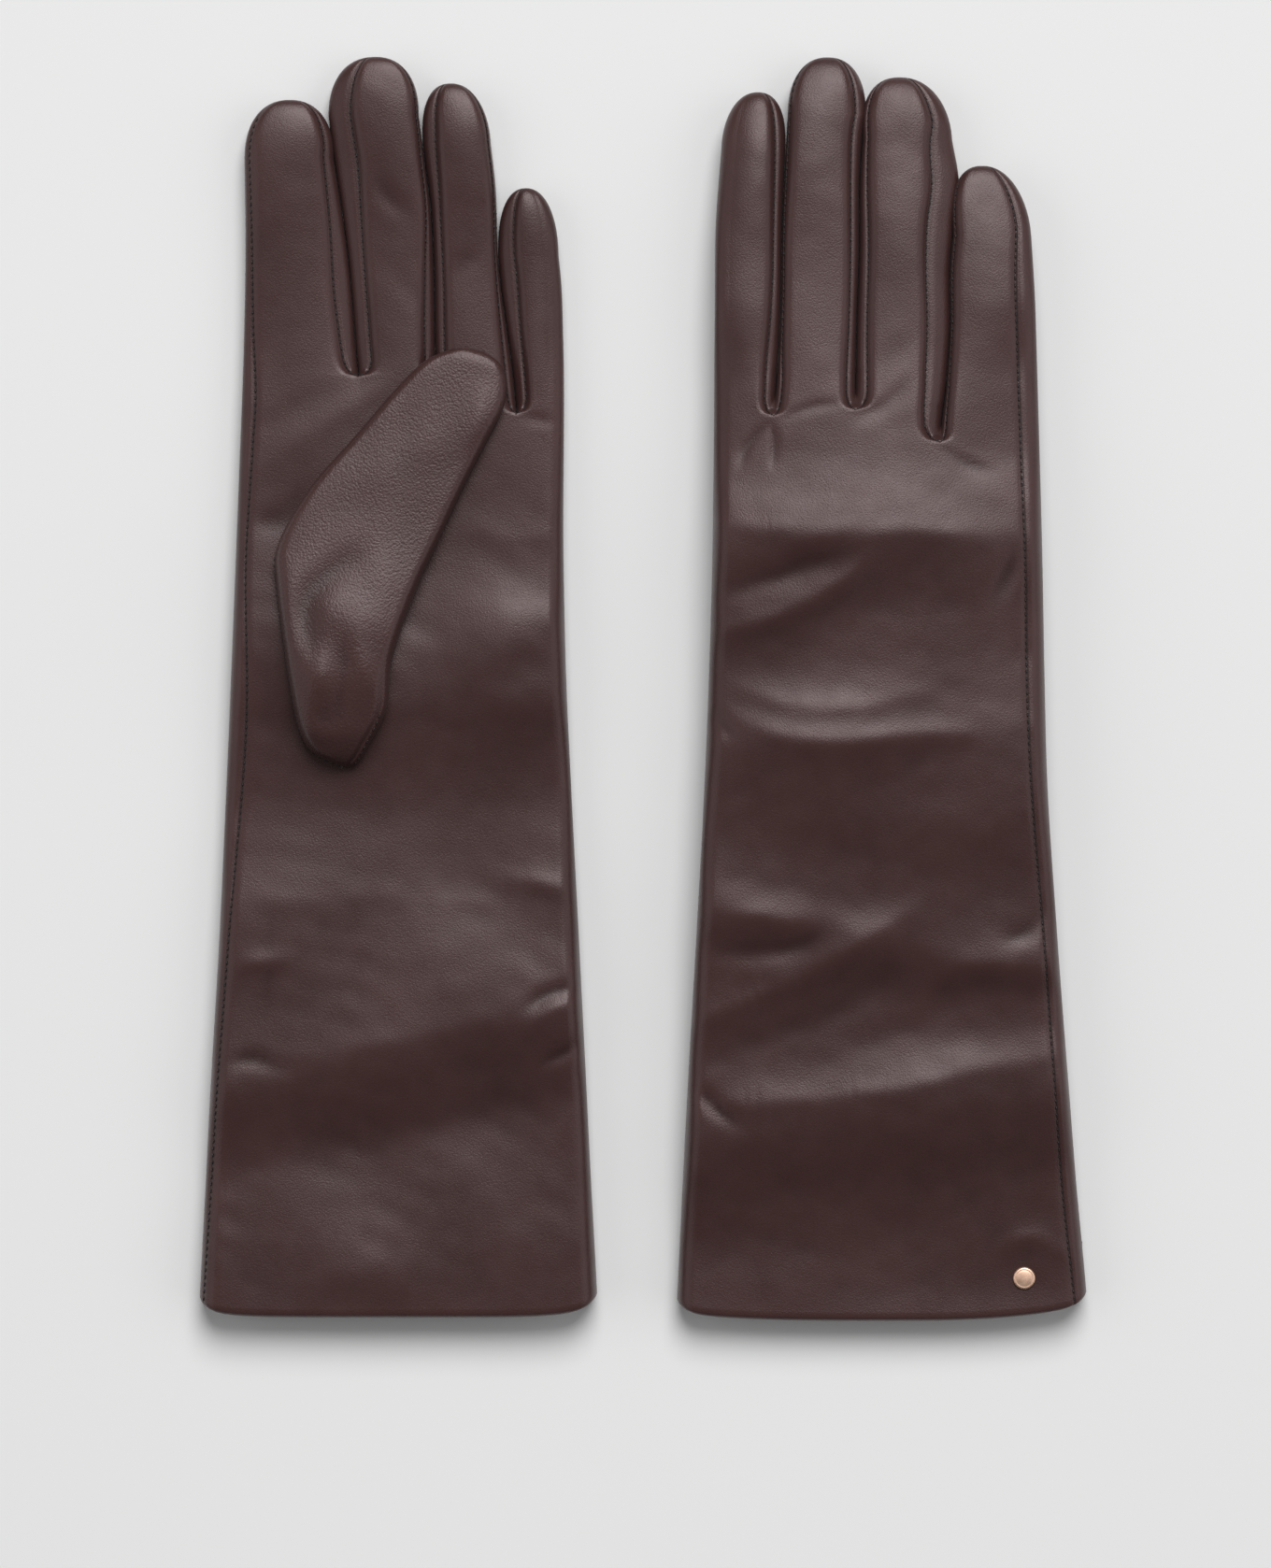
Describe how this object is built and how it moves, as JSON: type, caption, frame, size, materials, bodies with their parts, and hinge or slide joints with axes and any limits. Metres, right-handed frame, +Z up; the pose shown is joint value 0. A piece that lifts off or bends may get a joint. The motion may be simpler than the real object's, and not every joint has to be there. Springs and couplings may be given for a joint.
{
  "type": "leather gloves",
  "caption": "Pair of long, elbow-length lined leather gloves lying flat, with bending fingers, a folded swinging thumb and a small metal stud at each cuff.",
  "frame": {"origin": "centre of the pair's outline, on the surface that it lies on", "axes": "+Z up, +Y towards the fingertips, +X from the left glove to the right glove"},
  "size_m": [0.2473, 0.351, 0.0224],
  "materials": {
    "brown_leather": "smooth dark brown nappa leather, satin, fine grain",
    "knit_lining": "fine brown jersey knit",
    "rose_gold": "polished rose gold plate"
  },
  "bodies": {
    "left_hand": {"left_palm_panel": "brown_leather", "left_back_panel": "brown_leather", "left_hand_lining": "knit_lining", "left_stud_cap": "rose_gold", "left_stud_plate": "rose_gold", "left_index_middle_gusset": "brown_leather", "left_middle_ring_gusset": "brown_leather", "left_ring_little_gusset": "brown_leather"},
    "left_thumb": {"left_thumb_outer": "brown_leather", "left_thumb_inner": "brown_leather", "left_thumb_lining": "knit_lining"},
    "left_index": {"left_index_front": "brown_leather", "left_index_back": "brown_leather", "left_index_lining": "knit_lining", "left_index_fourchette_by_middle": "brown_leather"},
    "left_middle": {"left_middle_front": "brown_leather", "left_middle_back": "brown_leather", "left_middle_lining": "knit_lining", "left_middle_fourchette_by_index": "brown_leather", "left_middle_fourchette_by_ring": "brown_leather"},
    "left_ring": {"left_ring_front": "brown_leather", "left_ring_back": "brown_leather", "left_ring_lining": "knit_lining", "left_ring_fourchette_by_middle": "brown_leather", "left_ring_fourchette_by_little": "brown_leather"},
    "left_little": {"left_little_front": "brown_leather", "left_little_back": "brown_leather", "left_little_lining": "knit_lining", "left_little_fourchette_by_ring": "brown_leather"},
    "right_hand": {"right_palm_panel": "brown_leather", "right_back_panel": "brown_leather", "right_hand_lining": "knit_lining", "right_stud_cap": "rose_gold", "right_stud_plate": "rose_gold", "right_index_middle_gusset": "brown_leather", "right_middle_ring_gusset": "brown_leather", "right_ring_little_gusset": "brown_leather"},
    "right_thumb": {"right_thumb_outer": "brown_leather", "right_thumb_inner": "brown_leather", "right_thumb_lining": "knit_lining"},
    "right_index": {"right_index_front": "brown_leather", "right_index_back": "brown_leather", "right_index_lining": "knit_lining", "right_index_fourchette_by_middle": "brown_leather"},
    "right_middle": {"right_middle_front": "brown_leather", "right_middle_back": "brown_leather", "right_middle_lining": "knit_lining", "right_middle_fourchette_by_index": "brown_leather", "right_middle_fourchette_by_ring": "brown_leather"},
    "right_ring": {"right_ring_front": "brown_leather", "right_ring_back": "brown_leather", "right_ring_lining": "knit_lining", "right_ring_fourchette_by_middle": "brown_leather", "right_ring_fourchette_by_little": "brown_leather"},
    "right_little": {"right_little_front": "brown_leather", "right_little_back": "brown_leather", "right_little_lining": "knit_lining", "right_little_fourchette_by_ring": "brown_leather"}
  },
  "joints": [
    {"name": "left_thumb_swing", "type": "hinge", "parent": "left_hand", "child": "left_thumb", "pos_m": [-0.098, 0.01, 0.01315], "axis": [0.1495, -0.9888, 0], "range_deg": [0, 85]},
    {"name": "left_index_bend", "type": "hinge", "parent": "left_hand", "child": "left_index", "pos_m": [-0.0965, 0.097, 0.013], "axis": [1, 0, 0], "range_deg": [0, 85]},
    {"name": "left_middle_bend", "type": "hinge", "parent": "left_hand", "child": "left_middle", "pos_m": [-0.0697, 0.098, 0.013], "axis": [1, 0, 0], "range_deg": [0, 85]},
    {"name": "left_ring_bend", "type": "hinge", "parent": "left_hand", "child": "left_ring", "pos_m": [-0.0476, 0.097, 0.013], "axis": [1, 0, 0], "range_deg": [0, 85]},
    {"name": "left_little_bend", "type": "hinge", "parent": "left_hand", "child": "left_little", "pos_m": [-0.0293, 0.09, 0.013], "axis": [1, 0, 0], "range_deg": [0, 85]},
    {"name": "right_glove_lift", "type": "slide", "parent": "left_hand", "child": "right_hand", "axis": [0, 0, 1], "range_m": [0, 0.25]},
    {"name": "right_thumb_swing", "type": "hinge", "parent": "right_hand", "child": "right_thumb", "pos_m": [0.035, 0.01, 0.00915], "axis": [-0.0105, 0.9999, 0], "range_deg": [0, 85]},
    {"name": "right_index_bend", "type": "hinge", "parent": "right_hand", "child": "right_index", "pos_m": [0.029, 0.097, 0.0093], "axis": [-1, 0, 0], "range_deg": [0, 85]},
    {"name": "right_middle_bend", "type": "hinge", "parent": "right_hand", "child": "right_middle", "pos_m": [0.04895, 0.098, 0.0093], "axis": [-1, 0, 0], "range_deg": [0, 85]},
    {"name": "right_ring_bend", "type": "hinge", "parent": "right_hand", "child": "right_ring", "pos_m": [0.072, 0.097, 0.0093], "axis": [-1, 0, 0], "range_deg": [0, 85]},
    {"name": "right_little_bend", "type": "hinge", "parent": "right_hand", "child": "right_little", "pos_m": [0.09725, 0.09, 0.0093], "axis": [-1, 0, 0], "range_deg": [0, 85]}
  ]
}
